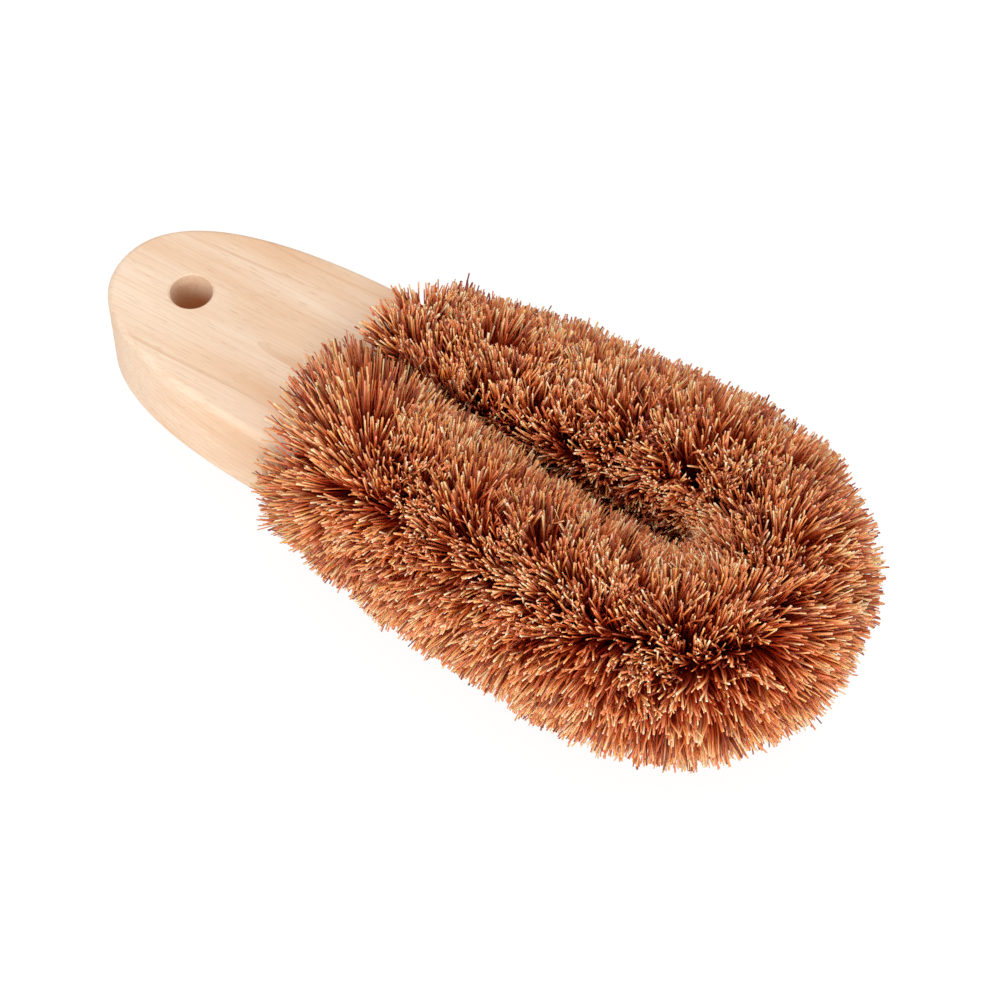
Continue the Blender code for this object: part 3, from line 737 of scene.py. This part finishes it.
def fibrePaths(sliceRng, start, end):
    # four points on each fibre from the wires to its tip, in mm from the handle's front, its tint, and
    # how much of the full reach it has
    count = int((end - start) * fibre["perMillimetre"])
    along = sliceRng.uniform(start, end, count)
    angle = sliceRng.uniform(0.0, fullTurn, count)
    twist = fullTurn * along / stem["twistPitch"] + quarterTurn
    fromLobe = (angle - twist + quarterTurn) % math.pi - quarterTurn
    angle = (angle - fibre["lobePull"] * np.sin(2 * fromLobe)) % fullTurn

    tiltAlong, tiltAround, height, tint = (
        nearest(tuftField, along, angle, sliceRng) + nearest(bunchField, along, angle, sliceRng))
    flowAlong, flowAround = flowLean(along, angle)
    astray = sliceRng.random(count) < fibre["stray"]
    ownLean = np.radians(np.where(astray, fibre["strayLean"], fibre["lean"]))
    tiltAlong = tiltAlong + flowAlong + ownLean * sliceRng.normal(0, 1, count)
    tiltAround = tiltAround + flowAround + ownLean * sliceRng.normal(0, 1, count)

    place, out, back = stemPlace(along)
    spoke = np.cos(angle)[:, None] * out + np.sin(angle)[:, None] * upright
    fromHandle = np.minimum(along, stemLength - along)
    nearHandle = np.clip(1.0 - fromHandle / splay["length"], 0.0, 1.0)
    onLeft = along > stemLength / 2
    parted = onLeft * ramp(fromHandle, *notch["ramp"])
    beyond = onLeft * (1.0 - parted)
    pressed = math.radians(meeting["pressed"]) * beyond * ramp(fromHandle, *meeting["pressedRamp"])
    tipAngle = turnTips(angle + tiltAround, pressed, parted)
    tiltAlong = tiltAlong - notch["forward"] * beyond * ramp(fromHandle, *notch["forwardRamp"])
    direction = np.cos(tipAngle)[:, None] * out + np.sin(tipAngle)[:, None] * upright
    direction = unitRows(direction - tiltAlong[:, None] * back)

    aside = meeting["aside"] * ramp(fromHandle, meeting["ramp"], 0.0)
    leftGap = meeting["left"] + aside * (1.0 - meeting["inNotch"] * parted)
    room = np.abs(place[:, 1]) - np.where(onLeft, leftGap, meeting["right"] - aside)
    direction = riseAtMiddle(direction, out, room, nearHandle)

    outward = rowDot(direction, out)
    reach = fullReach(direction, outward, fromHandle, parted, fromLobe) + height
    reach = reach + sliceRng.normal(0, fibre["unevenness"], count)
    reach = reach + splay["extra"] * nearHandle * (~onLeft & (direction[:, 2] > splay["extraAbove"]))
    short = sliceRng.random(count) < fibre["shortShare"]
    depth = np.where(short, sliceRng.uniform(fibre["shortest"], 1.0, count), 1.0)
    uneven = sliceRng.normal(0.0, meeting["spread"], count)
    reach = stopTips(reach * depth, direction, outward, room, along, uneven)

    # a fibre leaves the wires square to them and bends more and more towards its tip
    root = place + fibre["rootRadius"] * spoke
    toTip = place + reach[:, None] * direction - root
    square = fibre["rootRun"] * reach[:, None] * spoke
    points = np.stack([
        root + share * square + share ** 2 * (toTip - square) for share in fibre["rings"]], 1)
    leanOverHandle(points, place, direction, reach, nearHandle, onLeft, parted, astray, sliceRng)
    bowFibres(points, direction, reach, astray, sliceRng)
    tint = 0.5 + tint + sliceRng.normal(0.0, fibre["tintSpread"], count)
    return points, np.clip(tint, 0.0, 0.999), depth


def rodFaces():
    # the corners of a three-sided rod's faces, and their places on its strip of the map
    sides, rings = 3, len(fibre["rings"])
    levels = fibre["rings"][:-1] + (fibreMap["sideTop"],)
    quads, places = [], []
    for ring, (low, high) in enumerate(zip(levels, levels[1:])):
        for corner in range(sides):
            after = (corner + 1) % sides
            first, second = ring * sides, (ring + 1) * sides
            quads.append([first + corner, first + after, second + after, second + corner])
            left, right = corner / sides, (corner + 1) / sides
            places += [[left, low], [right, low], [right, high], [left, high]]
    cap = [(rings - 1) * sides + corner for corner in range(sides)]
    places += [[0.0, fibreMap["capFrom"]], [1.0, fibreMap["capFrom"]], [0.5, 1.0]]
    return sides, quads + [cap], np.array(places)


def fibreMesh(name, points, tint, depth, sliceRng):
    # a rod round each path, closed at the tip
    count, rings = points.shape[:2]
    sides, faces, places = rodFaces()
    direction = unitRows(points[:, -1] - points[:, 0])
    sideA, sideB = acrossFibre(direction, np.array([0.31, 0.17, 0.93]))  # an axis that no fibre follows
    radius = fibre["radius"] * np.exp(sliceRng.normal(0.0, fibre["radiusSpread"], count))
    spin = sliceRng.uniform(0.0, fullTurn, count)
    corners = []
    for corner in range(sides):
        turn = spin + corner * fullTurn / sides
        corners.append(np.cos(turn)[:, None] * sideA + np.sin(turn)[:, None] * sideB)
    width = (radius[:, None] * np.array(fibre["taper"]))[:, :, None, None]
    vertices = points[:, :, None, :] + width * np.stack(corners, 1)[:, None, :, :]
    vertices = (vertices.reshape(-1, 3) + np.array(frontOfHandle)) * mm

    # all rods have the same faces, one rod's count of vertices further on each time
    first = (np.arange(count) * rings * sides)[:, None]
    loops = (np.concatenate(faces)[None, :] + first).reshape(-1)
    sizes = np.tile([len(face) for face in faces], count)
    starts = np.concatenate([[0], np.cumsum(sizes)[:-1]])

    columns, margin = fibreMap["columns"], fibreMap["margin"]
    left = (np.floor(tint * columns) + margin) / columns
    maps = np.empty((count, len(places), 2))
    maps[:, :, 0] = left[:, None] + places[None, :, 0] * (1.0 - 2 * margin) / columns
    # a short fibre ends lower on the length ramp, so painted shade darkens its tip inside the brush
    maps[:, :, 1] = places[None, :, 1] * depth[:, None]

    mesh = bpy.data.meshes.new(name)
    mesh.vertices.add(len(vertices))
    mesh.vertices.foreach_set("co", vertices.reshape(-1))
    mesh.loops.add(len(loops))
    mesh.loops.foreach_set("vertex_index", loops.astype(np.int32))
    mesh.polygons.add(len(sizes))
    mesh.polygons.foreach_set("loop_start", starts.astype(np.int32))
    layer = mesh.uv_layers.new(name="OFBake")
    layer.uv.foreach_set("vector", maps.reshape(-1).astype(np.float32))
    mesh.update(calc_edges=True)
    mesh.validate()
    mesh.shade_smooth()
    return mesh


total = 0
for index, (node, start, end) in enumerate(stemSlices()):
    sliceRng = np.random.default_rng(fibre["sliceSeed"] + index)
    points, tint, depth = fibrePaths(sliceRng, start, end)
    pieceName = "fibres" + "".join(word.capitalize() for word in node.split("_")[1:])
    fibres = addObject(pieceName, fibreMesh(pieceName, points, tint, depth, sliceRng), coir)
    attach(fibres, "root")
    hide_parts(node)
    total += len(points)
print("coir grown:", total, "fibres")


# room, light and camera

studio = {
    "floorSize": 3.0,
    "floorPlain": 0.8,       # how light the paper is for the object
    "floorOwn": 0.88,        # what the camera sees of the floor without any light on it
    "floorTakes": 0.17,      # how much of the light and shadow it shows on top of that
    "worldStrength": 0.62,
    "lamps": {               # place and size in m, power in W
        "keySoftbox": ((-0.05, 0.38, 0.85), 0.6, 2.5),
        "fillSoftbox": ((0.2, -0.85, 0.5), 0.6, 5.4),
        "sideSoftbox": ((0.88, -0.46, 0.22), 0.5, 3.1),
    },
}

camera = {
    "aim": (8.0, -3.9, 22.0),  # mm
    "azimuth": 32.7,
    "elevation": 54.5,
    "distance": 630.0,         # mm
    "lens": 112.8,
    "nearest": 10.0,           # mm, nothing closer is cut off
}


def paperMaterial():
    # seamless paper: matt white; the camera sees it as white with the object's faint shadow
    material, tree = newMaterial("seamlessPaper")
    path = addNode(tree, "ShaderNodeLightPath")
    plain, shadowed = [addNode(tree, "ShaderNodeBsdfDiffuse", {}, {"Color": (grey, grey, grey, 1.0)})
                       for grey in (studio["floorPlain"], studio["floorTakes"])]
    own = addNode(tree, "ShaderNodeEmission", {}, {"Strength": studio["floorOwn"]})
    seen = addNode(tree, "ShaderNodeAddShader", {}, {
        0: shadowed.outputs["BSDF"], 1: own.outputs["Emission"]})
    mixed = addNode(tree, "ShaderNodeMixShader", {}, {
        0: path.outputs["Is Camera Ray"], 1: plain.outputs["BSDF"], 2: seen.outputs["Shader"]})
    addNode(tree, "ShaderNodeOutputMaterial", {}, {"Surface": mixed.outputs["Shader"]})
    return material


def buildFloor():
    mesh = bpy.data.meshes.new("paperFloor")
    bm = bmesh.new()
    bmesh.ops.create_grid(bm, x_segments=1, y_segments=1, size=studio["floorSize"] / 2)
    bm.to_mesh(mesh)
    bm.free()
    floor = addObject("paperFloor", mesh, paperMaterial())


def buildWorld():
    # seen directly or in gloss the world is white, and as light it is softer
    world = bpy.data.worlds.new("studio")
    world.use_nodes = True
    tree = world.node_tree
    tree.nodes.clear()
    path = addNode(tree, "ShaderNodeLightPath")
    white = path.outputs["Is Camera Ray"]
    for ray in ("Is Glossy Ray", "Is Transmission Ray"):
        white = addNode(tree, "ShaderNodeMath", {"operation": "MAXIMUM"}, {
            0: white, 1: path.outputs[ray]}).outputs["Value"]
    strength = addNode(tree, "ShaderNodeMapRange", {}, {
        "Value": white, "To Min": studio["worldStrength"], "To Max": 1.0})
    sky = addNode(tree, "ShaderNodeBackground", {}, {
        "Color": (1.0, 1.0, 1.0, 1.0), "Strength": strength.outputs["Result"]})
    addNode(tree, "ShaderNodeOutputWorld", {}, {"Surface": sky.outputs["Background"]})
    bpy.context.scene.world = world


def addSoftbox(name, place, size, power):
    # a round area lamp that points at the brush
    data = bpy.data.lights.new(name, "AREA")
    data.shape = "DISK"
    data.size = size
    data.energy = power
    lamp = addObject(name, data)
    lamp.location = place
    lamp.rotation_euler = (-Vector(place)).to_track_quat("-Z", "Y").to_euler()


def addCamera(view):
    azimuth, elevation = math.radians(view["azimuth"]), math.radians(view["elevation"])
    back = Vector((math.sin(azimuth) * math.cos(elevation),
                   -math.cos(azimuth) * math.cos(elevation),
                   math.sin(elevation)))
    data = bpy.data.cameras.new("photoCamera")
    data.lens = view["lens"]
    data.clip_start = view["nearest"] * mm
    obj = addObject("photoCamera", data)
    obj.location = Vector(view["aim"]) * mm + back * view["distance"] * mm
    obj.rotation_euler = (-back).to_track_quat("-Z", "Y").to_euler()
    bpy.context.scene.camera = obj


buildFloor()
buildWorld()
for name, (place, size, power) in studio["lamps"].items():
    addSoftbox(name, place, size, power)
addCamera(camera)
bpy.context.scene.view_settings.view_transform = "Standard"
print("room, light and camera set")
